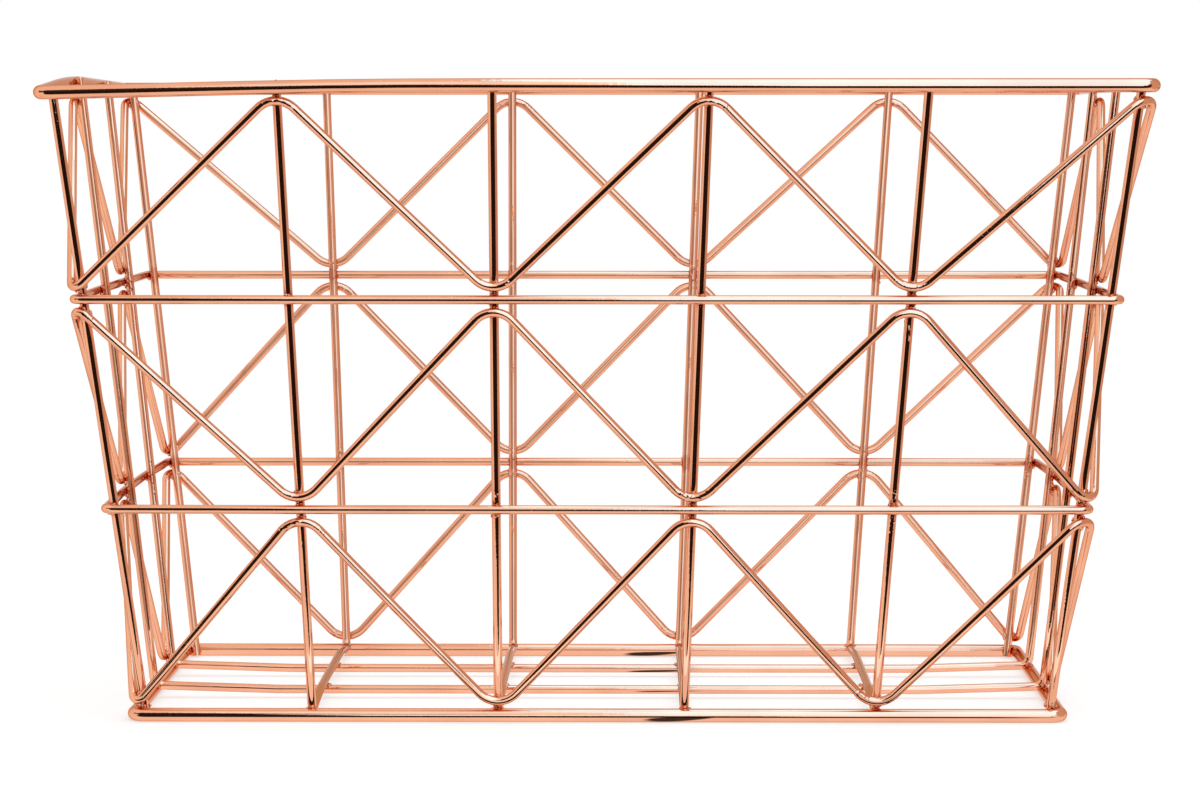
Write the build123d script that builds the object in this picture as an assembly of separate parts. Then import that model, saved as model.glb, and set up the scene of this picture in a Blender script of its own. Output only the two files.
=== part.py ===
from build123d import *

import math
import os

# A welded wire locker basket, wider at its mouth than at its base.
# Four closed rings lie one above another, a zigzag wire fills each of the three tiers between
# them, and upright wires inside the rings tie them together. Four upright pairs run on under
# the basket from front to back and two from left to right, and so make its floor.
# The origin is on the table under the middle of the basket. X runs along its length, Y runs
# from the front to the back, and Z is up. All sizes are in millimetres.
# Walls are numbered anticlockwise from above: 0 front, 1 right, 2 back, 3 left.

# Overall sizes, over the outside of the wire.
rim_length = 280.0
rim_depth = 168.0
base_length = 241.0
base_depth = 126.0
basket_height = 164.0

# Wire diameters.
rim_wire = 3.5
base_wire = 3.5
ring_wire = 2.3
zigzag_wire = 2.3
post_wire = 2.3

# How far a weld lets two crossing wires sink into each other.
weld_set = 0.15

# Bend radii, to the middle of the wire.
rim_bend = 3.0
base_bend = 3.0
ring_bend = 2.6
zigzag_bend = 6.4
foot_bend = 2.7
floor_bend = 40.0

# Bend radii with which the zigzags fold round the corner posts: front left, front right, back
# right and back left. The folds on the left are the tighter ones.
corner_folds = (2.4, 4.2, 3.4, 3.0)

# Slack bend with which the thin rings leave the outer uprights of a wall towards its corners.
ring_slack = 400.0

# Heights of the lower and the upper ring, as shares of the rise from base ring to rim.
ring_level_shares = (1 / 3, 2 / 3)

# Where the four uprights between the corners of the front stand, as shares of the half length
# between the walls, at the rim and at the floor. They aren't spaced quite evenly.
post_top_shares = (-0.587, -0.191, 0.208, 0.611)
post_foot_shares = (-0.618, -0.214, 0.189, 0.603)

# Where the two uprights between the corners of each end stand, as shares of the half depth.
end_post_shares = (-1 / 3, 1 / 3)

# Clear gap between a zigzag's bend and the ring beside it.
bend_gap = 0.9

# How far inside the middle of the base ring the uprights between the corners reach the floor,
# at the two ends and at the front and back.
end_foot_inset = 0.7
side_foot_inset = 1.5

# Uprights end this far below the top of the rim, and corner posts this far above the table.
post_top_drop = 0.8
corner_foot_clearance = 0.4

# The floor wires cross each other: the lengthwise pair dips below their ends on the base ring,
# and the crosswise four rise over them, each within a run-in on either side of the crossings.
long_wire_dip = 1.0
floor_run_in = 14.0

# The hand-bent rim isn't flat: its front left corner sags and its two ends bow up. The bends
# where the sag and the bows turn are very slack.
corner_sag = 1.8
sag_start_share = -0.42
sag_bend = 2400.0
left_bow = 1.3
right_bow = 0.5
bow_bend = 700.0

# Rounds in which the meeting points of a zigzag's legs settle.
settling_rounds = 5


# Levels and half sizes, to the middle of the wire.
base_level = base_wire / 2
rim_level = basket_height - rim_wire / 2
rise = rim_level - base_level
lower_level, upper_level = (base_level + rise * share for share in ring_level_shares)
rim_half = ((rim_length - rim_wire) / 2, (rim_depth - rim_wire) / 2)
base_half = ((base_length - base_wire) / 2, (base_depth - base_wire) / 2)

# Corner directions at the start of each wall.
corner_signs = ((-1, -1), (1, -1), (1, 1), (-1, 1))

# Lift of the rim along each wall: share of the half wall, lift, and bend there.
rim_lifts = (
    ((-1, -corner_sag, rim_bend), (sag_start_share, 0, sag_bend), (1, 0, rim_bend)),
    ((-1, 0, rim_bend), (end_post_shares[0], right_bow, bow_bend), (1, 0, rim_bend)),
    ((-1, 0, rim_bend), (1, 0, rim_bend)),
    ((-1, 0, rim_bend), (end_post_shares[1], left_bow, bow_bend), (1, -corner_sag, rim_bend)),
)


def touch(first_wire, second_wire):
    """Distance between the middles of two welded wires of these diameters."""
    return (first_wire + second_wire) / 2 - weld_set


def mix(start, end, share):
    """Value that lies this share of the way from start to end."""
    return start + (end - start) * share


def height_share(level):
    """Share of the rise from base ring to rim that a level has reached."""
    return (level - base_level) / rise


def rim_lift(wall, share):
    """Lift of the rim where an upright meets it."""
    stops = rim_lifts[wall]
    for (start, low, _), (end, high, _) in zip(stops, stops[1:]):
        if share <= end:
            return mix(low, high, (share - start) / (end - start))
    return stops[-1][1]


# The uprights between the corners lean outward in four flat planes.
post_top_half = tuple(half - touch(rim_wire, post_wire) for half in rim_half)
foot_insets = (end_foot_inset, side_foot_inset)
post_foot_half = tuple(half - inset for half, inset in zip(base_half, foot_insets))
lean = tuple(math.atan((top - foot) / rise) for top, foot in zip(post_top_half, post_foot_half))


def post_half(level):
    """Half length and half depth between the planes of the uprights at a level."""
    share = height_share(level)
    return tuple(mix(foot, top, share) for foot, top in zip(post_foot_half, post_top_half))


def outer_half(level, wire):
    """Half length and half depth of a wire welded to the outside of the uprights."""
    reach = touch(wire, post_wire)
    return tuple(half + reach / math.cos(angle) for half, angle in zip(post_half(level), lean))


def corner_inset(bend, wire):
    """Distance of a corner post from both runs of a ring that bends round its outside."""
    reach = touch(wire, post_wire)
    return max(reach, bend - (bend - reach) * math.sqrt(0.5))


def corner_post_half(level):
    """Half length and half depth between the corner posts at a level."""
    share = height_share(level)
    foot = [half - corner_inset(base_bend, base_wire) for half in base_half]
    top = [half - corner_inset(rim_bend, rim_wire) for half in rim_half]
    return tuple(mix(low, high, share) for low, high in zip(foot, top))


def turn(back, here, ahead, bend):
    """Start, middle and end of the arc that rounds the point here between two straight runs."""
    back = (back - here).normalized()
    ahead = (ahead - here).normalized()
    half_angle = math.radians(back.get_angle(ahead)) / 2
    reach = bend / math.tan(half_angle)
    depth = bend / math.sin(half_angle) - bend
    return here + back * reach, here + (back + ahead).normalized() * depth, here + ahead * reach


def bent_path(points, bends, closed=False):
    """Edges of the straight runs between points, joined by arcs that touch both runs."""
    count = len(points)
    turns = []
    for index, here in enumerate(points):
        if closed or index not in (0, count - 1):
            turns.append(turn(points[index - 1], here, points[(index + 1) % count], bends[index]))
        else:
            turns.append((here, None, here))
    edges = []
    for index in range(count if closed else count - 1):
        start, through, end = turns[index]
        if through is not None:
            edges.append(Edge.make_three_point_arc(start, through, end))
        edges.append(Edge.make_line(end, turns[(index + 1) % count][0]))
    return edges


def round_wire(edges, diameter):
    """Solid round wire along an open row of edges."""
    path = Wire(edges)
    section = Plane(origin=path @ 0, z_dir=path % 0) * Circle(diameter / 2)
    return sweep(section, path=path)


def closed_wire(edges, diameter):
    """Solid round wire along a closed row of edges, swept as two halves and joined."""
    half = len(edges) // 2
    return round_wire(edges[:half], diameter) + round_wire(edges[half:], diameter)


def wall_point(wall, half, along, level):
    """Point on a wall of these half sizes, by its place along the wall and its level."""
    half_length, half_depth = half
    places = ((along, -half_depth), (half_length, along), (-along, half_depth), (-half_length, -along))
    return Vector(*places[wall], level)


def plain_ring(half, level, bend, wire):
    """Flat closed ring with rounded corners."""
    points = [wall_point(wall, half, -half[wall % 2], level) for wall in range(4)]
    return closed_wire(bent_path(points, [bend] * len(points), closed=True), wire)


def make_rim():
    """Top ring with its sagging corner and bowed ends."""
    points = []
    bends = []
    for wall in range(4):
        for share, lift, bend in rim_lifts[wall][:-1]:
            points.append(wall_point(wall, rim_half, share * rim_half[wall % 2], rim_level + lift))
            bends.append(bend)
    return closed_wire(bent_path(points, bends, closed=True), rim_wire)


def wall_posts(wall, level):
    """Places along a wall of the uprights between its corners, in the order of travel."""
    span = post_half(level)[wall % 2]
    if wall % 2:
        return [share * span for share in end_post_shares]
    share = height_share(level)
    places = [mix(foot, top, share) * span for foot, top in zip(post_foot_shares, post_top_shares)]
    return places if wall == 0 else [-place for place in reversed(places)]


def make_ring(level):
    """Thin ring round the outside of all the uprights, with tight bends at the corner posts."""
    wall_half = outer_half(level, ring_wire)
    inset = corner_inset(ring_bend, ring_wire)
    corner_half = tuple(half + inset for half in corner_post_half(level))
    points = []
    for wall in range(4):
        places = wall_posts(wall, level)
        points.append(wall_point(wall, corner_half, -corner_half[wall % 2], level))
        points.append(wall_point(wall, wall_half, places[0], level))
        points.append(wall_point(wall, wall_half, places[-1], level))
    bends = [ring_bend, ring_slack, ring_slack] * 4
    return closed_wire(bent_path(points, bends, closed=True), ring_wire)


def leg_meeting(wall, number, crest_level, shift):
    """Point where the straight legs on both sides of a bend would meet.

    Number 0 is the corner where the wall starts, and the others are its uprights in order. Shift
    leads from the point to the crest of the bend.
    """
    level = crest_level - shift.Z
    if number > 0:
        along = wall_posts(wall, level)[number - 1]
        return wall_point(wall, outer_half(level, zigzag_wire), along, level)
    inset = (touch(zigzag_wire, post_wire) + math.hypot(shift.X, shift.Y)) * math.sqrt(0.5)
    half = tuple(size + inset for size in corner_post_half(crest_level))
    return wall_point(wall, half, -half[wall % 2], level)


def make_zigzag(tier, high):
    """Closed zigzag of one tier. It starts high or low at the front left corner.

    A tier is the low and the high level that the middle of the wire reaches in its bends.
    """
    stops = []
    for wall in range(4):
        stops += [(wall, number) for number in range(len(wall_posts(wall, tier[0])) + 1)]
    bends = [zigzag_bend if number > 0 else corner_folds[wall] for wall, number in stops]
    levels = [tier[(index + high) % 2] for index in range(len(stops))]

    # The legs meet beyond the wire's bends, and how far depends on the legs, so it settles in
    # a few rounds.
    shifts = [Vector(0, 0, 0)] * len(stops)
    for _ in range(settling_rounds):
        points = []
        for (wall, number), level, shift in zip(stops, levels, shifts):
            points.append(leg_meeting(wall, number, level, shift))
        shifts = []
        for index, here in enumerate(points):
            ahead = points[(index + 1) % len(points)]
            shifts.append(turn(points[index - 1], here, ahead, bends[index])[1] - here)
    return closed_wire(bent_path(points, bends, closed=True), zigzag_wire)


def foot_level(axis):
    """Level of a floor wire's ends, whose bends rest on the inner edge of the base ring.

    Axis 0 runs from the left end to the right end and axis 1 from the front to the back.
    """
    reach = foot_bend + touch(base_wire, post_wire)
    across = foot_bend + foot_insets[axis]
    return base_level + math.sqrt(reach**2 - across**2) - foot_bend


def floor_wire(axis, foot, top, top_levels, crossing_reach, crossing_level):
    """Two uprights and the floor stretch between them, bent from one wire.

    Foot and top are the wire's places along its walls.
    """
    low = foot_level(axis)
    inner = crossing_reach + floor_run_in
    stops = (
        (-post_half(top_levels[0])[axis], top, top_levels[0]),
        (-post_half(low)[axis], foot, low),
        (-inner, foot, crossing_level),
        (inner, foot, crossing_level),
        (post_half(low)[axis], foot, low),
        (post_half(top_levels[1])[axis], top, top_levels[1]),
    )
    points = [Vector(across, along, level) for across, along, level in stops]
    if axis == 1:
        points = [Vector(along, across, level) for across, along, level in stops]
    bends = [0, foot_bend, floor_bend, floor_bend, foot_bend, 0]
    return round_wire(bent_path(points, bends), post_wire)


def make_cross_wires():
    """Four wires from the front over the floor to the back, in order from the left."""
    crossing_level = foot_level(0) - long_wire_dip + touch(post_wire, post_wire)
    crossing_reach = post_foot_half[1] * end_post_shares[1]
    wires = []
    for foot_share, top_share in zip(post_foot_shares, post_top_shares):
        top_levels = [
            basket_height - post_top_drop + rim_lift(0, top_share),
            basket_height - post_top_drop + rim_lift(2, -top_share),
        ]
        foot = foot_share * post_foot_half[0]
        top = top_share * post_top_half[0]
        wires.append(floor_wire(1, foot, top, top_levels, crossing_reach, crossing_level))
    return wires


def make_long_wires():
    """Two wires from the left end under the crosswise four to the right end, front one first."""
    crossing_level = foot_level(0) - long_wire_dip
    crossing_reach = post_foot_half[0] * post_foot_shares[-1]
    wires = []
    for share in end_post_shares:
        top_levels = [
            basket_height - post_top_drop + rim_lift(3, -share),
            basket_height - post_top_drop + rim_lift(1, share),
        ]
        foot = share * post_foot_half[1]
        top = share * post_top_half[1]
        wires.append(floor_wire(0, foot, top, top_levels, crossing_reach, crossing_level))
    return wires


def make_corner_post(corner):
    """Straight post inside the bends of the rings, at the corner where a wall starts."""
    top_level = basket_height - post_top_drop + rim_lifts[corner][0][1]
    ends = []
    for level in (corner_foot_clearance, top_level):
        across = (sign * half for sign, half in zip(corner_signs[corner], corner_post_half(level)))
        ends.append(Vector(*across, level))
    return round_wire([Edge.make_line(*ends)], post_wire)


def make_parts():
    """All the wires of the basket by name."""
    parts = {
        "top_rim": make_rim(),
        "upper_ring": make_ring(upper_level),
        "lower_ring": make_ring(lower_level),
        "base_ring": plain_ring(base_half, base_level, base_bend, base_wire),
    }
    thin = (ring_wire + zigzag_wire) / 2 + bend_gap
    below_rim = (rim_wire + zigzag_wire) / 2 + bend_gap
    above_base = (base_wire + zigzag_wire) / 2 + bend_gap
    parts["upper_zigzag"] = make_zigzag((upper_level + thin, rim_level - below_rim), False)
    parts["middle_zigzag"] = make_zigzag((lower_level + thin, upper_level - thin), True)
    parts["lower_zigzag"] = make_zigzag((base_level + above_base, lower_level - thin), False)
    for number, wire in enumerate(make_cross_wires(), start=1):
        parts[f"cross_wire_{number}"] = wire
    parts["long_wire_front"], parts["long_wire_back"] = make_long_wires()
    corner_names = ("front_left", "front_right", "back_right", "back_left")
    for corner, name in enumerate(corner_names):
        parts[f"corner_post_{name}"] = make_corner_post(corner)
    return parts


def main():
    """Write one file for each wire."""
    os.makedirs("parts", exist_ok=True)
    for name, part in make_parts().items():
        export_step(part, f"parts/{name}.step")
        print(name, round(part.volume), "cubic mm,", len(part.solids()), "solid, valid:", part.is_valid)


main()
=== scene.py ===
"""A welded wire locker basket in copper-coloured plating, on a pale table in a soft studio.

The wires come with the frame and get their plating here. The welds, which have no solid of their
own, are added: beads where rings and zigzags cross the uprights, melted caps on the uprights
under the rim, and flash where the floor wires cross. All sizes are in metres. X runs along the
basket's length, Y from its front to its back, and Z up from the table.
"""

import logging
import math
import random
from dataclasses import dataclass, field, replace
from enum import Enum

import bmesh
import bpy
from mathutils import Matrix, Vector, noise


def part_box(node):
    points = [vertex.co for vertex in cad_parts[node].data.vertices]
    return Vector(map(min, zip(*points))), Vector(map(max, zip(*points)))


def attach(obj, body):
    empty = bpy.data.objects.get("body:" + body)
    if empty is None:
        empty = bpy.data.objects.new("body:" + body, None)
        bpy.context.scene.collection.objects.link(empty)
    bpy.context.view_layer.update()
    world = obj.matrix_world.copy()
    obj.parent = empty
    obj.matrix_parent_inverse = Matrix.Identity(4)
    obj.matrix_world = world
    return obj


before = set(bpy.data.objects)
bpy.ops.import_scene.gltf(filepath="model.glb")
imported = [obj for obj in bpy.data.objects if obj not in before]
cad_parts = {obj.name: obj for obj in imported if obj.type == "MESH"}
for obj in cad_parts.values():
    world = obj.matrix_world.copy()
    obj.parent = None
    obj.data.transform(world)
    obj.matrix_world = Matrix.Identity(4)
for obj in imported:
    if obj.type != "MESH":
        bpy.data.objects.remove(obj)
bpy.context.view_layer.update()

logging.basicConfig(level=logging.INFO, format="%(message)s")
log = logging.getLogger("basket")

MM = 0.001
MIDDLE_OF_NOISE = 0.5
UP = Vector((0, 0, 1))

Colour = tuple[float, float, float]
Point = tuple[float, float, float]
Span = tuple[float, float]

BLACK: Colour = (0.0, 0.0, 0.0)
NEUTRAL: Colour = (1.0, 1.0, 1.0)
DAYLIGHT: Colour = (0.36, 0.71, 1.0)
SOFT_DAYLIGHT: Colour = (0.45, 0.72, 1.0)
PALE: Colour = (0.68, 0.88, 1.0)
CREAM: Colour = (1.0, 0.97, 0.92)
WARM: Colour = (1.0, 0.80, 0.68)
EMBER: Colour = (1.0, 0.60, 0.40)


class Signal:
    """A number that flows through a material, with arithmetic that adds Math nodes."""

    def __init__(self, tree: bpy.types.NodeTree, socket: bpy.types.NodeSocket) -> None:
        """Wrap one output socket.

        Args:
            tree: The node tree that new Math nodes go into.
            socket: The output socket that carries the number.
        """
        self.tree = tree
        self.socket = socket

    def _math(self, operation: str, *operands: "Signal | float") -> "Signal":
        """Add one Math node.

        Args:
            operation: The Math node's operation.
            operands: Its inputs in order.

        Returns:
            The node's result.
        """
        node = self.tree.nodes.new("ShaderNodeMath")
        node.operation = operation
        for slot, operand in zip(node.inputs, operands):
            if isinstance(operand, Signal):
                self.tree.links.new(operand.socket, slot)
            else:
                slot.default_value = operand
        return Signal(self.tree, node.outputs[0])

    def __add__(self, other: "Signal | float") -> "Signal":
        """This number plus another."""
        return self._math("ADD", self, other)

    def __radd__(self, other: float) -> "Signal":
        """A plain number plus this one."""
        return self._math("ADD", other, self)

    def __sub__(self, other: "Signal | float") -> "Signal":
        """This number minus another."""
        return self._math("SUBTRACT", self, other)

    def __rsub__(self, other: float) -> "Signal":
        """A plain number minus this one."""
        return self._math("SUBTRACT", other, self)

    def __mul__(self, other: "Signal | float") -> "Signal":
        """This number times another."""
        return self._math("MULTIPLY", self, other)

    def __rmul__(self, other: float) -> "Signal":
        """A plain number times this one."""
        return self._math("MULTIPLY", other, self)

    def __truediv__(self, other: "Signal | float") -> "Signal":
        """This number divided by another."""
        return self._math("DIVIDE", self, other)

    def __rtruediv__(self, other: float) -> "Signal":
        """A plain number divided by this one."""
        return self._math("DIVIDE", other, self)

    def __abs__(self) -> "Signal":
        """This number without its sign."""
        return self._math("ABSOLUTE", self)

    def root(self) -> "Signal":
        """The square root of this number."""
        return self._math("SQRT", self)

    def larger(self, other: "Signal | float") -> "Signal":
        """The larger of this number and another."""
        return self._math("MAXIMUM", self, other)

    def smaller(self, other: "Signal | float") -> "Signal":
        """The smaller of this number and another."""
        return self._math("MINIMUM", self, other)


class Recipe:
    """The nodes of one material or world."""

    # Where the Mix node has its factor, its two colours and the mixed colour
    mix_inputs: tuple[int, int, int] = (0, 6, 7)
    mix_output: int = 2

    def __init__(self, tree: bpy.types.NodeTree) -> None:
        """Start from an empty tree."""
        self.tree = tree
        tree.nodes.clear()

    def node(self, kind: str, settings: dict | None = None, **values: object) -> bpy.types.Node:
        """Add any node but a Math node.

        Args:
            kind: The node's type.
            settings: Its own settings, set before its sockets.
            values: A value, a socket or a Signal for each named input. An underscore stands
                for a space.

        Returns:
            The node.
        """
        node = self.tree.nodes.new(kind)
        for name, value in (settings or {}).items():
            setattr(node, name, value)
        for name, value in values.items():
            self._feed(self._input(node, name), value)
        return node

    def signal(self, socket: bpy.types.NodeSocket) -> Signal:
        """An output socket as a number that takes arithmetic."""
        return Signal(self.tree, socket)

    def ramp(self, value: Signal, low: float, high: float) -> Signal:
        """A number eased from 0 at low to 1 at high.

        Args:
            value: The number that drives it.
            low: Where the result is 0.
            high: Where the result is 1.

        Returns:
            The eased number.
        """
        smooth = {"interpolation_type": "SMOOTHSTEP"}
        node = self.node("ShaderNodeMapRange", smooth, Value=value, From_Min=low, From_Max=high)
        return self.signal(node.outputs[0])

    def blend(self, share: Signal, first: object, second: object) -> bpy.types.NodeSocket:
        """A colour that goes from first to second.

        Args:
            share: 0 for the first colour and 1 for the second.
            first: A colour or a colour socket.
            second: A colour or a colour socket.

        Returns:
            The mixed colour's socket.
        """
        node = self.node("ShaderNodeMix", {"data_type": "RGBA", "clamp_factor": True})
        for index, value in zip(self.mix_inputs, (share, first, second)):
            self._feed(node.inputs[index], value)
        return node.outputs[self.mix_output]

    def place(self) -> bpy.types.NodeSocket:
        """Where a point of the piece lies, in metres."""
        return self.node("ShaderNodeTexCoord").outputs["Object"]

    def axes(self, place: bpy.types.NodeSocket, names: str) -> list[Signal]:
        """The parts of a place along the named axes."""
        parts = self.node("ShaderNodeSeparateXYZ", Vector=place)
        return [self.signal(parts.outputs[name]) for name in names]

    def glow(self, colour: object, strength: float) -> bpy.types.Node:
        """An even glow in a colour or a colour socket."""
        return self.node("ShaderNodeEmission", Color=colour, Strength=strength)

    def finish(self, shader: bpy.types.Node) -> None:
        """Make a shader the surface of the material."""
        self.node("ShaderNodeOutputMaterial", Surface=shader.outputs[0])

    def layer(
        self, share: "Signal | float", under: bpy.types.Node, over: bpy.types.Node
    ) -> bpy.types.Node:
        """Two shaders laid over each other.

        Args:
            share: 0 for the one under and 1 for the one over.
            under: A shader node.
            over: A shader node.

        Returns:
            The mixed shader's node.
        """
        mix = self.node("ShaderNodeMixShader", Fac=share)
        self.tree.links.new(under.outputs[0], mix.inputs[1])
        self.tree.links.new(over.outputs[0], mix.inputs[2])
        return mix

    def _feed(self, slot: bpy.types.NodeSocket, value: object) -> None:
        """Link a socket or a Signal to an input, or set the input's own value.

        Args:
            slot: The input.
            value: What it gets.
        """
        if isinstance(value, Signal):
            self.tree.links.new(value.socket, slot)
        elif isinstance(value, bpy.types.NodeSocket):
            self.tree.links.new(value, slot)
        else:
            slot.default_value = value

    @staticmethod
    def _input(node: bpy.types.Node, name: str) -> bpy.types.NodeSocket:
        """Find an input that is in use.

        Args:
            node: The node.
            name: The input's name, with an underscore for a space.

        Returns:
            The first such input.
        """
        plain = name.replace("_", " ")
        return next(slot for slot in node.inputs if slot.name == plain and slot.enabled)


def rgba(colour: Colour) -> tuple[float, float, float, float]:
    """A colour with full opacity."""
    return (*colour, 1.0)


def new_material(name: str) -> tuple[bpy.types.Material, Recipe]:
    """Start a material.

    Args:
        name: The material's name.

    Returns:
        The empty material and its recipe.
    """
    material = bpy.data.materials.new(name)
    material.use_nodes = True
    return material, Recipe(material.node_tree)


@dataclass(frozen=True)
class PlatedFinish:
    """Polished copper-coloured plating on drawn steel wire.

    Sizes and depths are in metres. A span says between which values of a noise, which runs from
    0 to 1, a change goes from none to full.
    """

    name: str
    colour: Colour = (0.87, 0.430, 0.268)
    deep_colour: Colour = (0.79, 0.370, 0.232)
    burnt_colour: Colour = (0.70, 0.27, 0.155)
    greyed_colour: Colour = (0.62, 0.43, 0.30)
    edge_colour: Colour = (0.70, 0.40, 0.27)
    roughness: float = 0.05
    dull_roughness: float = 0.13
    grain_contrast: float = 0.55
    coarse_detail: float = 1.0
    fine_detail: float = 2.0
    finest_detail: float = 3.0
    patch_size: float = 0.022
    deep_patches: Span = (0.35, 0.70)
    dull_patches: Span = (0.45, 0.75)
    patch_dullness: float = 0.25
    ripple_size: float = 0.0024
    ripple_depth: float = 0.000012
    pit_size: float = 0.0005
    pit_depth: float = 0.000004
    deep_pits: Span = (0.60, 0.80)
    dull_pits: Span = (0.62, 0.78)
    pit_dullness: float = 0.6
    heat_levels: tuple[float, ...] = ()
    heat_reach: float = 0.0022
    heat_dullness: float = 1.5
    dent_levels: tuple[float, ...] = ()
    dent_reach: float = 0.0035
    dent_size: float = 0.0019
    dent_depth: float = 0.00013
    dents: Span = (0.50, 0.72)
    struck_patches: Span = (0.42, 0.60)
    full_share: float = 0.35
    greyed_below: float = 0.0
    greyed_inside: float = 0.0
    full_below_share: float = 0.75
    full_inside_share: float = 0.88
    greyed_patches: Span = (0.35, 0.60)
    least_greyed: float = 0.55

    def material(self) -> bpy.types.Material:
        """Make the material.

        Returns:
            A metal whose tone, gloss and surface vary finely, darker where welding heated it and
            greyer and duller low inside the basket.
        """
        material, recipe = new_material(self.name)
        place = recipe.place()
        patches = self._grain(recipe, place, self.patch_size, self.finest_detail)
        ripples = self._grain(recipe, place, self.ripple_size, self.fine_detail)
        pits = self._grain(recipe, place, self.pit_size, self.fine_detail)
        tone, roughness = self._tone(recipe, place, patches, ripples, pits)
        shader = recipe.node(
            "ShaderNodeBsdfPrincipled",
            Base_Color=tone,
            Metallic=1.0,
            Specular_Tint=rgba(self.edge_colour),
            Roughness=roughness,
            Normal=self._relief(recipe, place, ripples, pits),
        )
        recipe.finish(shader)
        return material

    def _tone(
        self, recipe: Recipe, place: bpy.types.NodeSocket, patches: Signal, ripples: Signal,
        pits: Signal,
    ) -> tuple[bpy.types.NodeSocket, Signal]:
        """Vary colour and gloss.

        Args:
            recipe: The material's nodes.
            place: The point.
            patches: Broad noise.
            ripples: Finer noise.
            pits: The finest noise.

        Returns:
            The colour and the roughness.
        """
        deep = recipe.ramp(patches, *self.deep_patches)
        tone = recipe.blend(deep, rgba(self.colour), rgba(self.deep_colour))
        dull = (
            recipe.ramp(pits, *self.dull_pits) * self.pit_dullness
            + recipe.ramp(patches, *self.dull_patches) * self.patch_dullness
        )
        heat = self._near(recipe, place, ripples, self.heat_levels, self.heat_reach)
        if heat is not None:
            tone = recipe.blend(heat, tone, rgba(self.burnt_colour))
            dull = (dull + heat * self.heat_dullness).smaller(1.0)
        # Greyer and duller low inside the basket, unevenly
        if self.greyed_below:
            greyed = self._greyed(recipe, place, patches)
            tone = recipe.blend(greyed, tone, rgba(self.greyed_colour))
            dull = dull.larger(greyed)
        return tone, self.roughness + dull * (self.dull_roughness - self.roughness)

    def _relief(
        self, recipe: Recipe, place: bpy.types.NodeSocket, ripples: Signal, pits: Signal
    ) -> bpy.types.NodeSocket:
        """Raise and sink the surface.

        Args:
            recipe: The material's nodes.
            place: The point.
            ripples: Noise of the drawn wire's ripples.
            pits: Noise of the plating's pits.

        Returns:
            The normal.
        """
        normal = recipe.node(
            "ShaderNodeBump", Strength=1.0, Distance=self.ripple_depth, Height=ripples
        ).outputs[0]
        layers = []
        dented = self._near(recipe, place, ripples, self.dent_levels, self.dent_reach)
        if dented is not None:
            struck = self._grain(recipe, place, self.patch_size, self.coarse_detail)
            dents = self._grain(recipe, place, self.dent_size, self.coarse_detail)
            painted_shadows = recipe.ramp(dents, *self.dents) * dented
            layers.append((self.dent_depth, painted_shadows * recipe.ramp(struck, *self.struck_patches)))
        layers.append((self.pit_depth, recipe.ramp(pits, *self.deep_pits)))
        for depth, height in layers:
            normal = recipe.node(
                "ShaderNodeBump", Strength=1.0, Distance=depth, Height=height, Normal=normal
            ).outputs[0]
        return normal

    def _grain(
        self, recipe: Recipe, place: bpy.types.NodeSocket, size: float, detail: float
    ) -> Signal:
        """Make a noise.

        Args:
            recipe: The material's nodes.
            place: The point.
            size: About how large its features are.
            detail: How many finer layers it has.

        Returns:
            The noise, from 0 to 1.
        """
        node = recipe.node(
            "ShaderNodeTexNoise", Vector=place, Scale=1.0 / size, Detail=detail,
            Roughness=self.grain_contrast,
        )
        return recipe.signal(node.outputs[0])

    def _greyed(self, recipe: Recipe, place: bpy.types.NodeSocket, patches: Signal) -> Signal:
        """Find the greyer, duller stretch low inside the basket.

        Args:
            recipe: The material's nodes.
            place: The point.
            patches: Broad noise that makes the stretch uneven.

        Returns:
            How far the point is greyed.
        """
        depth, height = recipe.axes(place, "YZ")
        full_below = self.greyed_below * self.full_below_share
        full_inside = self.greyed_inside * self.full_inside_share
        low = 1.0 - recipe.ramp(height, full_below, self.greyed_below)
        inside = 1.0 - recipe.ramp(abs(depth), full_inside, self.greyed_inside)
        uneven = recipe.ramp(patches, *self.greyed_patches) * (1.0 - self.least_greyed)
        return low * inside * (self.least_greyed + uneven)

    def _near(
        self, recipe: Recipe, place: bpy.types.NodeSocket, ripples: Signal,
        levels: tuple[float, ...], reach: float,
    ) -> Signal | None:
        """How near a point is to the heights where welding touched the wire.

        Args:
            recipe: The material's nodes.
            place: The point.
            ripples: Noise that makes the limit uneven.
            levels: The heights.
            reach: How far from each height it still counts.

        Returns:
            1 at each height and 0 away from it, or None without heights.
        """
        if not levels:
            return None
        height = recipe.axes(place, "Z")[0]
        nearest = None
        for level in levels:
            away = abs(height - level) + (ripples - MIDDLE_OF_NOISE) * reach
            near = 1.0 - recipe.ramp(away, reach * self.full_share, reach)
            nearest = near if nearest is None else nearest.larger(near)
        return nearest


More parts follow.
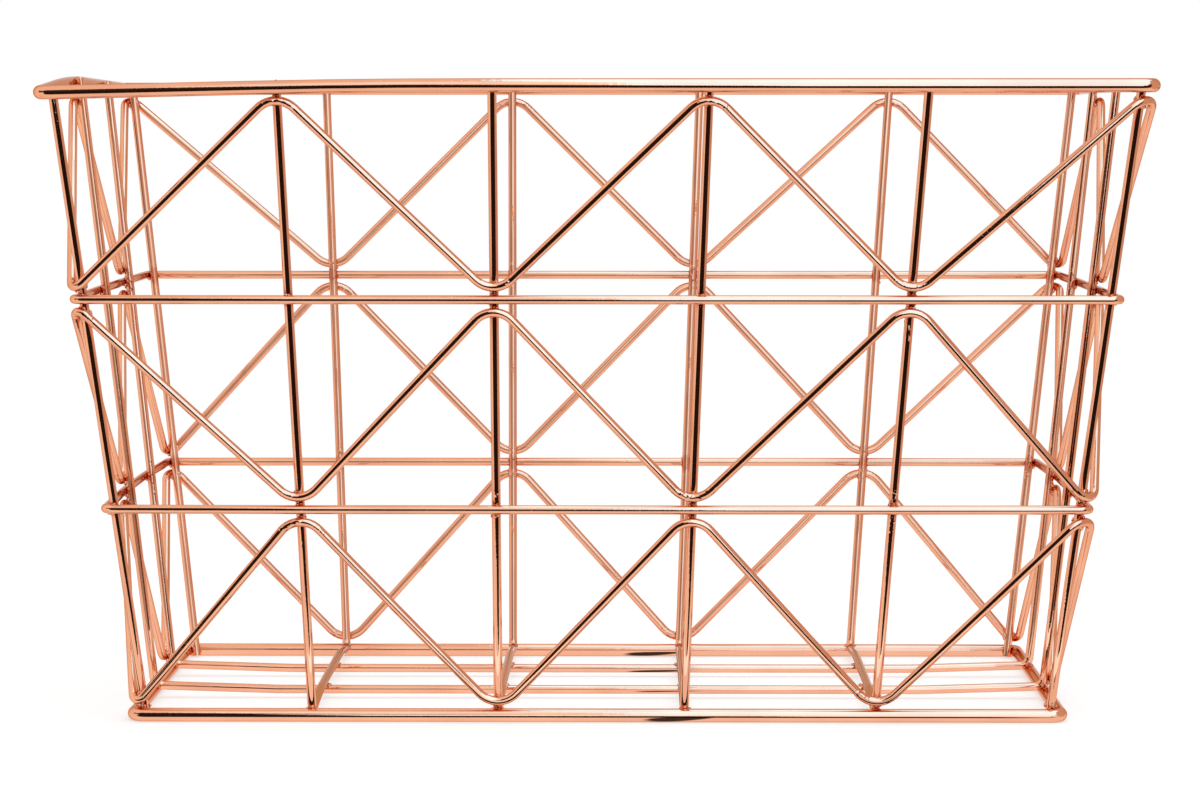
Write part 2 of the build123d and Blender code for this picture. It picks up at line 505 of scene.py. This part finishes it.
@dataclass(frozen=True)
class TableFinish:
    """Pale seamless table top.

    Polished metal sees a glow that ends in front, where the room is dark, with a thin line of
    painted shade before the basket and a painted shadow under each wire along the floor.
    """

    name: str = "pale_table"
    colour: Colour = (0.93, 0.93, 0.93)
    least_white: float = 0.5
    white_reach: Span = (0.20, 0.55)
    seen_by_metal: float = 1.1
    front_edge: float = -0.108
    edge_slant: float = 0.38
    edge_softness: float = 0.004
    # A thin line of painted shade before the basket, seen only in reflections
    line_near: float = -0.0649
    line_reach: float = 0.0095
    line_softness: float = 0.0005
    line_taper: float = 0.04
    line_depth: float = 0.98
    # Painted shadows under the wires along the floor, seen only in reflections
    painted_shadows: tuple[tuple[float, float], ...] = (
        (0.021, -0.0640), (0.0185, -0.0240), (0.0165, 0.0180), (0.0155, 0.0586),
    )
    shadow_length: float = 0.0100
    shadow_width: float = 0.0021
    shadow_slant: float = 0.12
    shadow_depth: float = 0.95
    shadow_edge: Span = (0.7, 1.0)

    def material(self) -> bpy.types.Material:
        """Make the material.

        Returns:
            A matt white that keeps the object's shadow, runs out into the white room, and shows in
            reflections as a glow with painted shade and painted shadows, as far as its front edge.
        """
        material, recipe = new_material(self.name)
        across, depth = recipe.axes(recipe.place(), "XY")
        rays = recipe.node("ShaderNodeLightPath")
        seen = self._seen_by_eye(recipe, across, depth)
        mirrored = self._seen_by_metal(recipe, across, depth)
        recipe.finish(recipe.layer(recipe.signal(rays.outputs["Is Glossy Ray"]), seen, mirrored))
        return material

    def _seen_by_eye(self, recipe: Recipe, across: Signal, depth: Signal) -> bpy.types.Node:
        """Make what the eye sees.

        Args:
            recipe: The material's nodes.
            across: The point's place along the basket.
            depth: The point's place from front to back.

        Returns:
            Matt white near the basket and plain white farther off.
        """
        away = (across * across + depth * depth).root()
        matt = recipe.node("ShaderNodeBsdfDiffuse", Color=rgba(self.colour), Roughness=0.0)
        share = self.least_white + recipe.ramp(away, *self.white_reach) * (1.0 - self.least_white)
        return recipe.layer(share, matt, recipe.glow(rgba(NEUTRAL), 1.0))

    def _seen_by_metal(self, recipe: Recipe, across: Signal, depth: Signal) -> bpy.types.Node:
        """Make what polished metal sees, with painted shade and painted shadows.

        Args:
            recipe: The material's nodes.
            across: The point's place along the basket.
            depth: The point's place from front to back.

        Returns:
            A glow with the painted shade line and the painted shadows under the wires, and nothing
            beyond the front edge.
        """
        to_the_right = across.larger(0.0)
        inside = recipe.ramp(
            depth - to_the_right * self.edge_slant,
            self.front_edge - self.edge_softness, self.front_edge + self.edge_softness,
        )
        # The dark line before the basket is painted shade in the reflected table
        ahead = self.line_near - depth
        beyond = ahead + to_the_right * self.line_taper
        line = recipe.ramp(ahead, 0.0, self.line_softness) * (
            1.0 - recipe.ramp(beyond, self.line_reach - self.line_softness, self.line_reach)
        )
        light = 1.0 - line * self.line_depth
        # Each painted shadow darkens the reflected table under one wire along the floor
        for shadow_across, shadow_depth in self.painted_shadows:
            side = across - shadow_across
            along = side / self.shadow_length
            wide = (depth - shadow_depth + side * self.shadow_slant) / self.shadow_width
            clear = recipe.ramp((along * along + wide * wide).root(), *self.shadow_edge)
            light = light * (1.0 - self.shadow_depth + clear * self.shadow_depth)
        shade = recipe.blend(light, rgba(BLACK), rgba(NEUTRAL))
        open_air = recipe.node("ShaderNodeBsdfTransparent")
        return recipe.layer(inside, open_air, recipe.glow(shade, self.seen_by_metal))


def plain_glow(name: str, strength: float, tint: Colour, clear: float) -> bpy.types.Material:
    """A material that shows one even glow.

    Args:
        name: The material's name.
        strength: 0 for black, 1 for white, and more for a bright lamp front.
        tint: Colour of the glow.
        clear: Share that lets what is behind show through.

    Returns:
        The material.
    """
    material, recipe = new_material(name)
    glow = recipe.glow(rgba(tint), strength)
    if clear:
        glow = recipe.layer(clear, glow, recipe.node("ShaderNodeBsdfTransparent"))
    recipe.finish(glow)
    return material


def link(mesh_name: str, work: bmesh.types.BMesh, material: bpy.types.Material) -> bpy.types.Object:
    """Turn finished mesh work into an object at the origin.

    Args:
        mesh_name: Name of the object and its mesh.
        work: The mesh work, which is freed.
        material: What it is made of.

    Returns:
        The object, with smooth faces.
    """
    mesh = bpy.data.meshes.new(mesh_name)
    for face in work.faces:
        face.smooth = True
    work.to_mesh(mesh)
    work.free()
    mesh.materials.append(material)
    piece = bpy.data.objects.new(mesh_name, mesh)
    bpy.context.scene.collection.objects.link(piece)
    return piece


class Side(Enum):
    """Which wall of the basket an upright belongs to."""

    FRONT = "front"
    BACK = "back"
    LEFT = "left"
    RIGHT = "right"
    CORNER = "corner"


@dataclass(frozen=True)
class Upright:
    """One upright, as the middle line of its wire, and the way out of the basket from it."""

    name: str
    side: Side
    foot: Vector
    top: Vector
    outward: Vector

    def at(self, level: float) -> Vector:
        """The point of the middle line at a height.

        Args:
            level: Height above the table.

        Returns:
            The point.
        """
        share = (level - self.foot.z) / (self.top.z - self.foot.z)
        return self.foot.lerp(self.top, share)


@dataclass
class Uprights:
    """All sixteen uprights, read from the frame's boxes."""

    wire: float = 2.3 * MM
    base_wire: float = 3.5 * MM
    end_foot_inset: float = 0.7 * MM
    side_foot_inset: float = 1.5 * MM
    turn_to_first: float = 136.0
    items: list[Upright] = field(default_factory=list)

    def build(self) -> None:
        """Work out the middle lines from where the wires' boxes end."""
        self._add_cross_wires()
        self._add_long_wires()
        self._add_corner_posts()
        self.items.sort(key=self._turn_from_front_left)

    def _add_cross_wires(self) -> None:
        """Add the uprights of the front and the back."""
        foot_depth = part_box("base_ring")[1][1] - self.base_wire / 2 - self.side_foot_inset
        for number in range(1, 5):
            low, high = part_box(f"cross_wire_{number}")
            top_x, foot_x = self._ends(low[0], high[0])
            for side, sign in ((Side.FRONT, -1), (Side.BACK, 1)):
                foot = (foot_x, sign * foot_depth, self.base_wire / 2)
                top = (top_x, sign * (high[1] - self.wire / 2), high[2])
                self._add(f"cross_wire_{number}", side, foot, top, (0, sign, 0))

    def _add_long_wires(self) -> None:
        """Add the uprights of the two ends."""
        foot_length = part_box("base_ring")[1][0] - self.base_wire / 2 - self.end_foot_inset
        for name in ("long_wire_front", "long_wire_back"):
            low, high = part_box(name)
            top_y, foot_y = self._ends(low[1], high[1])
            for side, sign in ((Side.LEFT, -1), (Side.RIGHT, 1)):
                foot = (sign * foot_length, foot_y, self.base_wire / 2)
                top = (sign * (high[0] - self.wire / 2), top_y, high[2])
                self._add(name, side, foot, top, (sign, 0, 0))

    def _add_corner_posts(self) -> None:
        """Add the uprights in the corners."""
        for across, x_sign in (("left", -1), ("right", 1)):
            for along, y_sign in (("front", -1), ("back", 1)):
                name = f"corner_post_{along}_{across}"
                low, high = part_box(name)
                top_x, foot_x = self._ends(low[0], high[0])
                top_y, foot_y = self._ends(low[1], high[1])
                foot, top = (foot_x, foot_y, low[2]), (top_x, top_y, high[2])
                self._add(name, Side.CORNER, foot, top, (x_sign, y_sign, 0))

    def _ends(self, low: float, high: float) -> tuple[float, float]:
        """Find where a wire's middle line ends that leans out of the basket.

        Args:
            low: The wire's lower limit along one axis.
            high: Its upper limit along that axis.

        Returns:
            The place of its top and the place of its foot along that axis.
        """
        near_low, near_high = low + self.wire / 2, high - self.wire / 2
        return (near_low, near_high) if low + high < 0 else (near_high, near_low)

    def _turn_from_front_left(self, upright: Upright) -> float:
        """Find how far round the basket an upright stands.

        Args:
            upright: The upright.

        Returns:
            The angle in degrees, from the front left corner past the front.
        """
        reach_x, reach_y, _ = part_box("top_rim")[1]
        angle = math.degrees(math.atan2(upright.top.y / reach_y, upright.top.x / reach_x))
        return (angle + self.turn_to_first) % 360.0

    def _add(self, name: str, side: Side, foot: Point, top: Point, outward: Point) -> None:
        """Keep one upright."""
        away = Vector(outward).normalized()
        self.items.append(Upright(name, side, Vector(foot), Vector(top), away))


@dataclass
class WeldBeads:
    """A set of small melted beads, made as one piece."""

    name: str
    material: bpy.types.Material
    seed: int
    roundness: int = 2
    unevenness: float = 0.45
    broad_dents: float = 1.5
    fine_dents: float = 3.9
    fine_share: float = 0.6
    seed_step: float = 3.1
    bead_step: float = 1.7
    bead_rise: float = 0.37
    work: bmesh.types.BMesh = field(default_factory=bmesh.new)
    chance: random.Random = field(init=False)
    count: int = 0

    def __post_init__(self) -> None:
        """Start the set's own chance from its seed."""
        self.chance = random.Random(self.seed)

    def pick(self, span: Span) -> float:
        """A value picked by chance from a span."""
        return self.chance.uniform(*span)

    def add(self, centre: Vector, radii: Point, outward: Vector) -> None:
        """Add one bead: a ball, dented, stretched and set in place.

        Args:
            centre: Middle of the bead.
            radii: Its half sizes along the wall, out of the wall and upward.
            outward: Level direction out of the wall.
        """
        made = bmesh.ops.create_icosphere(self.work, subdivisions=self.roundness, radius=1.0)
        bead = made["verts"]
        shift = Vector((
            self.seed * self.seed_step,
            self.count * self.bead_step,
            self.seed + self.count * self.bead_rise,
        ))
        for vert in bead:
            broad = noise.noise(vert.co * self.broad_dents + shift)
            fine = noise.noise(vert.co * self.fine_dents + shift)
            vert.co *= 1.0 + self.unevenness * (broad + self.fine_share * fine)
        bmesh.ops.scale(self.work, verts=bead, vec=Vector(radii))
        turn = Matrix.Rotation(math.atan2(-outward.x, outward.y), 3, "Z")
        bmesh.ops.rotate(self.work, verts=bead, cent=Vector(), matrix=turn)
        bmesh.ops.translate(self.work, verts=bead, vec=centre)
        self.count += 1

    def finish(self) -> bpy.types.Object:
        """Turn the beads into a piece of the basket.

        Returns:
            The piece.
        """
        piece = link(self.name, self.work, self.material)
        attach(piece, "root")
        log.info("%s: %d beads", self.name, self.count)
        return piece


@dataclass(frozen=True)
class Flash:
    """Melted metal that came out round a spot where two wires touch."""

    missing_share: float = 0.3
    reach: Span = (0.55 * MM, 1.0 * MM)
    lift: Span = (0.75 * MM, 1.15 * MM)
    size: Span = (0.32 * MM, 0.62 * MM)
    depth_share: float = 0.9
    height_share: float = 1.1

    def lay(self, beads: WeldBeads, spot: Vector, outward: Vector) -> None:
        """Lay up to four beads round the spot.

        Args:
            beads: The set that they join.
            spot: Where the wires touch.
            outward: Level direction out of the wall.
        """
        along = outward.cross(UP)
        for side in (-1, 1):
            for rise in (-1, 1):
                if beads.chance.random() < self.missing_share:
                    continue
                reach, lift, size = map(beads.pick, (self.reach, self.lift, self.size))
                centre = spot + along * side * reach + UP * rise * lift
                radii = (size, size * self.depth_share, size * self.height_share)
                beads.add(centre, radii, outward)


@dataclass(frozen=True)
class CornerLump:
    """Rough metal in the crook where a wire folds round a corner upright.

    A reach counts without its sign, so one that spans zero gives mostly short ones.
    """

    beads: int = 5
    crook_rise: float = 1.1 * MM
    crook_radii: Point = (1.2 * MM, 0.6 * MM, 1.1 * MM)
    outset: float = 0.1 * MM
    size: Span = (0.4 * MM, 0.75 * MM)
    length_reach: Span = (0.3 * MM, 1.4 * MM)
    depth_reach: Span = (-0.6 * MM, 0.3 * MM)
    lift: Span = (-0.4 * MM, 1.3 * MM)
    stretch: Span = (0.8, 1.4)

    def lay(
        self, beads: WeldBeads, crook: Vector, middle: Vector, outward: Vector, rise: int
    ) -> None:
        """Heap the beads, each inward of the upright's middle line.

        Args:
            beads: The set that they join.
            crook: Where the wire touches the upright at the crook's height.
            middle: The upright's middle line at the fold's height.
            outward: Level direction out of the corner.
            rise: 1 where the wire leaves the fold upward and -1 where it leaves downward.
        """
        beads.add(crook, self.crook_radii, outward)
        for _ in range(self.beads):
            size, length, depth, lift = map(
                beads.pick, (self.size, self.length_reach, self.depth_reach, self.lift)
            )
            inward = Vector((
                -math.copysign(length, outward.x), -math.copysign(depth, outward.y), rise * lift
            ))
            radii = (size, size, size * beads.pick(self.stretch))
            beads.add(middle + outward * self.outset + inward, radii, outward)


@dataclass
class Welds:
    """Every weld of the basket, one set of beads for each kind."""

    uprights: list[Upright]
    wire: float = 2.3 * MM
    weld_set: float = 0.15 * MM
    flash: Flash = Flash()
    lump: CornerLump = CornerLump()
    rings: tuple[str, ...] = ("upper_ring", "lower_ring")
    drip_share: float = 0.4
    drip_drop: Span = (1.6 * MM, 2.2 * MM)
    drip_reach: float = 0.45
    drip_radii: Point = (0.4 * MM, 0.45 * MM, 0.55 * MM)
    zigzags: tuple[tuple[str, bool], ...] = (
        ("upper_zigzag", False), ("middle_zigzag", True), ("lower_zigzag", False),
    )
    smeared_upright: int = 4
    smear_drop: float = 5.2 * MM
    smear_outset: float = 0.3 * MM
    smear_radii: Point = (1.05 * MM, 1.0 * MM, 3.4 * MM)
    cap_width: Span = (1.1 * MM, 1.35 * MM)
    cap_height: float = 0.8 * MM
    cap_drop: float = 0.55 * MM
    cap_outset: float = 0.25 * MM
    right_end_drop: float = 0.8 * MM
    foot_lump_share: float = 0.7
    foot_share: float = 0.8
    foot_outset: float = 0.5 * MM
    foot_size: Span = (0.5 * MM, 0.8 * MM)
    foot_reach: Span = (0.7 * MM, 1.1 * MM)
    foot_flatness: float = 0.8
    floor_size: Span = (0.45 * MM, 0.75 * MM)
    floor_reach: Span = (0.9 * MM, 1.3 * MM)
    floor_length: float = 1.3
    floor_flatness: float = 0.8

    def build(self) -> None:
        """Lay all the welds."""
        finish = PlatedFinish(
            "plated_weld", roughness=0.12, dull_roughness=0.34, ripple_size=0.0007,
            ripple_depth=0.00007, pit_depth=0.00002, colour=(0.83, 0.39, 0.26),
            deep_colour=(0.62, 0.25, 0.15),
        ).material()
        for name, seed, lay in (
            ("ring_welds", 3, self._lay_ring_welds),
            ("zigzag_welds", 5, self._lay_zigzag_welds),
            ("rim_welds", 7, self._lay_rim_welds),
            ("foot_welds", 11, self._lay_foot_welds),
            ("floor_welds", 13, self._lay_floor_welds),
        ):
            beads = WeldBeads(name, finish, seed)
            lay(beads)
            beads.finish()

    def _spot(self, upright: Upright, level: float) -> Vector:
        """Where a wire outside an upright touches it, at a height."""
        return upright.at(level) + upright.outward * (self.wire - self.weld_set) / 2

    def _lay_flash(self, beads: WeldBeads, upright: Upright, level: float) -> None:
        """Lay flash round the spot where a wire touches an upright, at a height."""
        self.flash.lay(beads, self._spot(upright, level), upright.outward)

    def _lay_lump(self, beads: WeldBeads, upright: Upright, level: float, rise: int) -> None:
        """Lay a lump where a wire folds round a corner upright, at a height."""
        crook = self._spot(upright, level + rise * self.lump.crook_rise)
        self.lump.lay(beads, crook, upright.at(level), upright.outward, rise)

    def _lay_ring_welds(self, beads: WeldBeads) -> None:
        """Weld the two middle rings to the uprights, with a few drips under them.

        Args:
            beads: The set that they join.
        """
        for ring in self.rings:
            level = middle_level(ring)
            for upright in self.uprights:
                self._lay_flash(beads, upright, level)
                if beads.chance.random() < self.drip_share:
                    along = upright.outward.cross(UP) * beads.chance.choice((-1, 1))
                    place = upright.at(level - beads.pick(self.drip_drop))
                    place += along * self.wire * self.drip_reach
                    beads.add(place, self.drip_radii, upright.outward)

    def _lay_zigzag_welds(self, beads: WeldBeads) -> None:
        """Weld every bend of the zigzags to its upright, and melt it fully at the corners.

        Args:
            beads: The set that they join.
        """
        for zigzag, starts_high in self.zigzags:
            low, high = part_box(zigzag)
            for index, upright in enumerate(self.uprights):
                at_crest = (index % 2 == 0) == starts_high
                level = high[2] - self.wire / 2 if at_crest else low[2] + self.wire / 2
                self._lay_flash(beads, upright, level)
                if upright.side is Side.CORNER:
                    self._lay_lump(beads, upright, level, -1 if at_crest else 1)
            if starts_high:
                smeared = self.uprights[self.smeared_upright]
                run = smeared.at(high[2] - self.smear_drop) + smeared.outward * self.smear_outset
                beads.add(run, self.smear_radii, smeared.outward)

    def _lay_rim_welds(self, beads: WeldBeads) -> None:
        """Melt the top of every upright against the inside of the rim.

        Args:
            beads: The set that they join.
        """
        for upright in self.uprights:
            wide = beads.pick(self.cap_width)
            drop = self.cap_drop + (self.right_end_drop if upright.side is Side.RIGHT else 0.0)
            cap = upright.top - UP * drop + upright.outward * self.cap_outset
            beads.add(cap, (wide, wide, self.cap_height), upright.outward)

    def _lay_foot_welds(self, beads: WeldBeads) -> None:
        """Weld every foot to the base ring, with a lump at the two front corners.

        Args:
            beads: The set that they join.
        """
        level = middle_level("base_ring")
        half_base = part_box("base_ring")[1][2] / 2
        for upright in self.uprights:
            along = upright.outward.cross(UP)
            foot = upright.at(level + half_base * self.foot_share)
            foot += upright.outward * self.foot_outset
            if upright.side is Side.CORNER and upright.outward.y < 0:
                self._lay_lump(beads, upright, level + half_base * self.foot_lump_share, 1)
            for side in (-1, 1):
                size, reach = map(beads.pick, (self.foot_size, self.foot_reach))
                radii = (size, size, size * self.foot_flatness)
                beads.add(foot + along * side * reach, radii, upright.outward)

    def _lay_floor_welds(self, beads: WeldBeads) -> None:
        """Weld the floor wires where they cross.

        Args:
            beads: The set that they join.
        """
        feet = {upright.name: upright.foot for upright in self.uprights}
        for number in range(1, 5):
            across = feet[f"cross_wire_{number}"].x
            for name in ("long_wire_front", "long_wire_back"):
                for side in (-1, 1):
                    size, reach = map(beads.pick, (self.floor_size, self.floor_reach))
                    centre = Vector((across + side * reach, feet[name].y, self._floor_level(name)))
                    radii = (size, size * self.floor_length, size * self.floor_flatness)
                    beads.add(centre, radii, Vector((0, -1, 0)))

    def _floor_level(self, name: str) -> float:
        """Height at which the cross wires lie on a long wire."""
        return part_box(name)[0][2] + self.wire


@dataclass(frozen=True)
class Card:
    """One flat card that only shiny surfaces see, by its corners in order."""

    name: str
    strength: float
    corners: tuple[Point, ...]
    tint: Colour = NEUTRAL
    clear: float = 0.0

    def build(self) -> None:
        """Stand it up."""
        work = bmesh.new()
        work.faces.new([work.verts.new(corner) for corner in self.corners])
        card = link(self.name, work, plain_glow(self.name, self.strength, self.tint, self.clear))
        card.visible_camera = False
        card.visible_diffuse = False
        card.visible_shadow = False
        card.visible_transmission = False


def facing_front(depth: float, *outline: tuple[float, float]) -> tuple[Point, ...]:
    """Corners at one depth, from pairs of the places across and up."""
    return tuple((across, depth, height) for across, height in outline)


def facing_side(across: float, *outline: tuple[float, float]) -> tuple[Point, ...]:
    """Corners at one place across, from pairs of depth and height."""
    return tuple((across, depth, height) for depth, height in outline)


def level_at(height: float, *outline: tuple[float, float]) -> tuple[Point, ...]:
    """Corners at one height, from pairs of the place across and the depth."""
    return tuple((across, depth, height) for across, depth in outline)


@dataclass
class Studio:
    """Table, room, lamp, cards and camera."""

    camera_place: Point = (0.01062, -1.06422, 0.15629)
    camera_pitch: float = 4.202
    camera_yaw: float = -0.561
    focal_pixels: float = 3955.0
    frame_width: float = 1200.0
    sensor: float = 36.0
    nearest_seen: float = 0.01
    table_reach: float = 3.0
    lamp_place: Point = (0.25, -0.15, 1.3)
    lamp_length: float = 1.2
    lamp_depth: float = 0.9
    lamp_energy: float = 6.0
    room_turn: Span = (-0.1, 0.5)
    behind_from: Span = (0.55, 0.9)
    behind_below: Span = (0.45, 0.7)
    dark: float = 0.022
    dim: float = 0.05
    front_lamp: float = 2.95
    pale_lamp: float = 1.7
    top_lamp: float = 3.3
    # Strength of the thin strip of painted highlight just before the basket
    low_highlight: float = 2.0
    left_side: float = 1.05
    right_side: float = 0.70
    far_side: float = 0.92
    # Strength and see-through share of the sheer glows inside the basket, a painted reflection
    painted_reflection_strength: float = 0.9
    painted_reflection_clear: float = 0.62

    def build(self) -> None:
        """Set everything up."""
        self._table()
        self._room()
        self._lamp()
        for card in self._cards():
            card.build()
        self._camera()
        bpy.context.scene.view_settings.view_transform = "Standard"

    def _camera(self) -> None:
        """Place the camera where the photograph was taken from."""
        lens = bpy.data.cameras.new("camera")
        lens.sensor_width = self.sensor
        lens.lens = self.sensor * self.focal_pixels / self.frame_width
        lens.clip_start = self.nearest_seen
        eye = bpy.data.objects.new("camera", lens)
        eye.location = self.camera_place
        pitch, yaw = math.radians(90 - self.camera_pitch), math.radians(-self.camera_yaw)
        eye.rotation_euler = (pitch, 0, yaw)
        bpy.context.scene.collection.objects.link(eye)
        bpy.context.scene.camera = eye

    def _table(self) -> None:
        """Lay the table top."""
        work = bmesh.new()
        bmesh.ops.create_grid(work, x_segments=1, y_segments=1, size=self.table_reach)
        table = link("table", work, TableFinish().material())

    def _room(self) -> None:
        """Give the room its colour: white to the eye, and lighter on its left to metal."""
        world = bpy.data.worlds.new("room")
        bpy.context.scene.world = world
        world.use_nodes = True
        recipe = Recipe(world.node_tree)
        rays = recipe.node("ShaderNodeLightPath")
        towards = recipe.node("ShaderNodeTexCoord").outputs["Generated"]
        across, depth, height = recipe.axes(towards, "XYZ")
        left, right, behind = (
            rgba(tuple(tone * part for part in tint)) for tone, tint in (
                (self.left_side, CREAM), (self.right_side, WARM), (self.far_side, NEUTRAL)
            )
        )
        sides = recipe.blend(recipe.ramp(across, *self.room_turn), left, right)
        low = 1.0 - recipe.ramp(height, *self.behind_below)
        tent = recipe.blend(recipe.ramp(depth, *self.behind_from) * low, sides, behind)
        glossy = recipe.signal(rays.outputs["Is Glossy Ray"])
        colour = recipe.blend(glossy, rgba(NEUTRAL), tent)
        back = recipe.node("ShaderNodeBackground", Color=colour, Strength=1.0)
        recipe.node("ShaderNodeOutputWorld", Surface=back.outputs[0])

    def _lamp(self) -> None:
        """Hang one broad soft lamp over the table."""
        lamp = bpy.data.lights.new("top_lamp", "AREA")
        lamp.shape = "RECTANGLE"
        lamp.size = self.lamp_length
        lamp.size_y = self.lamp_depth
        lamp.energy = self.lamp_energy
        holder = bpy.data.objects.new("top_lamp", lamp)
        holder.location = self.lamp_place
        holder.visible_glossy = False
        bpy.context.scene.collection.objects.link(holder)

    def _cards(self) -> list[Card]:
        """List what only the metal sees.

        Returns:
            The dark room in front, the lamp fronts, the low pale screens beside the table, a thin
            glowing strip of painted highlight just before the basket, and sheer glows inside the
            basket that paint a softer reflection on the wires farther back.
        """
        return [
            Card("dark_front", self.dark, facing_front(
                -1.0, (-1.9, -1.6), (1.9, -1.6), (1.9, 0.06), (0.32, 0.06), (0.28, -0.025),
                (0.09, -0.025), (0.03, 0.2), (-0.08, 0.28), (-1.9, 0.3),
            ), EMBER),
            Card("dim_front", self.dim, facing_front(
                -1.0, (-1.9, 0.3), (-0.08, 0.28), (0.03, 0.2), (0.0, 0.25), (-0.1, 0.38),
                (-0.18, 0.5), (-0.25, 0.8), (-0.5, 0.85), (-1.3, 0.75), (-1.9, 0.8),
            ), EMBER),
            Card("dim_left", self.dim, (
                (-1.9, -1.0, 0.15), (-1.9, -1.0, 0.8), (-1.75, -0.35, 0.85), (-1.75, -0.35, 0.15),
            ), EMBER),
            Card("dark_right", self.dark, facing_front(
                -0.99, (0.66, -0.2), (1.6, -0.2), (1.6, 0.62), (0.78, 0.12),
            ), EMBER),
            Card("front_lamp", self.front_lamp, facing_front(
                -0.985, (0.09, -0.025), (0.28, -0.025), (0.32, 0.06), (0.62, 0.08), (0.8, 0.35),
                (1.35, 1.1), (0.0, 1.1), (0.0, 0.26), (0.03, 0.21),
            ), SOFT_DAYLIGHT),
            Card("pale_front", self.pale_lamp, facing_front(
                -0.988, (-0.3, 1.9), (-0.26, 0.8), (-0.18, 0.5), (-0.1, 0.38), (0.0, 0.25),
                (0.05, 1.9),
            ), PALE),
            Card("near_lamp", self.front_lamp, facing_front(
                -0.5, (0.09, 0.12), (0.09, 0.215), (0.006, 0.215), (0.004, 0.173), (0.04, 0.132),
            ), SOFT_DAYLIGHT),
            Card("near_pale", self.left_side, facing_front(
                -0.501, (0.004, 0.173), (0.006, 0.215), (-0.002, 0.255), (-0.014, 0.31),
                (-0.097, 0.31), (-0.042, 0.209),
            ), CREAM),
            Card("high_lamp", self.top_lamp, facing_front(
                -0.985, (0.0, 1.1), (1.35, 1.1), (1.75, 1.75), (1.75, 2.6), (-0.12, 2.6),
            ), DAYLIGHT),
            Card("overhead_lamp", self.top_lamp, level_at(
                2.6, (-0.12, -0.98), (1.75, -0.98), (1.75, 0.9), (-0.12, 0.9),
            ), DAYLIGHT),
            # A thin glowing strip just before the basket: a painted highlight on the low wires
            Card("low_painted_highlight", self.low_highlight, facing_front(
                -0.085, (-0.06, 0.0026), (0.15, 0.0026), (0.15, 0.0080), (-0.09, 0.0080),
            ), PALE),
            Card("left_screen", self.left_side, facing_side(
                -0.8, (-0.74, -0.7), (1.2, -0.7), (1.2, 0.15), (-0.74, 0.15),
            ), CREAM),
            Card("right_screen", self.right_side, facing_side(
                0.41, (-0.27, -0.3), (1.0, -0.3), (1.0, 0.12), (-0.27, 0.12),
            ), WARM),
            Card("lower_table", self.left_side, level_at(
                -0.09, (-0.8, -0.44), (-0.06, -0.41), (0.1, -0.3), (0.8, -0.28), (0.8, 0.1),
                (-0.8, 0.1),
            ), CREAM),
            # Sheer glows inside the basket: a painted reflection that softens the dark and the
            # highlights on the wires farther back
            Card("back_painted_reflection", self.painted_reflection_strength, facing_front(
                0.035, (-0.2, 0.006), (0.125, 0.006), (0.14, 0.2), (-0.2, 0.2),
            ), CREAM, self.painted_reflection_clear),
            Card("right_painted_reflection", self.painted_reflection_strength, facing_front(
                0.0, (0.11, 0.006), (0.2, 0.006), (0.2, 0.2), (0.12, 0.2),
            ), CREAM, self.painted_reflection_clear),
            Card("left_painted_reflection", self.painted_reflection_strength, facing_front(
                -0.045, (-0.2, 0.006), (-0.105, 0.006), (-0.115, 0.2), (-0.2, 0.2),
            ), CREAM, self.painted_reflection_clear),
        ]


@dataclass
class Plating:
    """Dresses each wire of the frame in its own finish."""

    rings: tuple[str, ...] = ("upper_ring", "lower_ring")
    stout: tuple[str, ...] = ("top_rim", "base_ring")
    zigzags: tuple[str, ...] = ("upper_zigzag", "middle_zigzag", "lower_zigzag")
    wire: float = 2.3 * MM

    def build(self) -> None:
        """Make the finishes and put them on the wires."""
        ring_levels = tuple(middle_level(name) for name in self.rings)
        finishes = {name: PlatedFinish("plated_ring_wire") for name in self.rings}
        stout_finish = PlatedFinish("plated_stout_wire", patch_size=0.03)
        finishes |= {name: stout_finish for name in self.stout}
        for name in self.zigzags:
            low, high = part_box(name)
            bends = (low[2] + self.wire / 2, high[2] - self.wire / 2)
            finishes[name] = PlatedFinish(f"plated_{name}", patch_size=0.018, dent_levels=bends)
        upright = PlatedFinish(
            "plated_upright_wire", roughness=0.035, dull_roughness=0.09,
            heat_levels=ring_levels, heat_reach=0.003, dent_levels=ring_levels,
            dent_reach=0.006, dent_depth=0.0001, pit_depth=0.0000015,
        )
        crosswise = replace(
            upright, name="plated_cross_wire", greyed_below=0.009, greyed_inside=0.055
        )
        finishes |= {f"cross_wire_{number}": crosswise for number in range(1, 5)}
        for name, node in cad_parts.items():
            self._dress(node, finishes.get(name, upright))

    def _dress(self, node: bpy.types.Object, finish: PlatedFinish) -> None:
        """Put a finish on one wire, made once for all wires that share it.

        Args:
            node: The wire.
            finish: Its finish.
        """
        material = bpy.data.materials.get(finish.name) or finish.material()
        if not node.material_slots:
            node.data.materials.append(material)
        for slot in node.material_slots:
            slot.material = material
        log.info("%s: %s", node.name, finish.name)


def middle_level(node: str) -> float:
    """Height of the middle of a level ring.

    Args:
        node: The ring's name.

    Returns:
        The height.
    """
    low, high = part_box(node)
    return (low[2] + high[2]) / 2


def main() -> None:
    """Build the studio, plate the wires and add the welds."""
    Studio().build()
    uprights = Uprights()
    uprights.build()
    Plating().build()
    Welds(uprights.items).build()


if __name__ == "__main__":
    main()
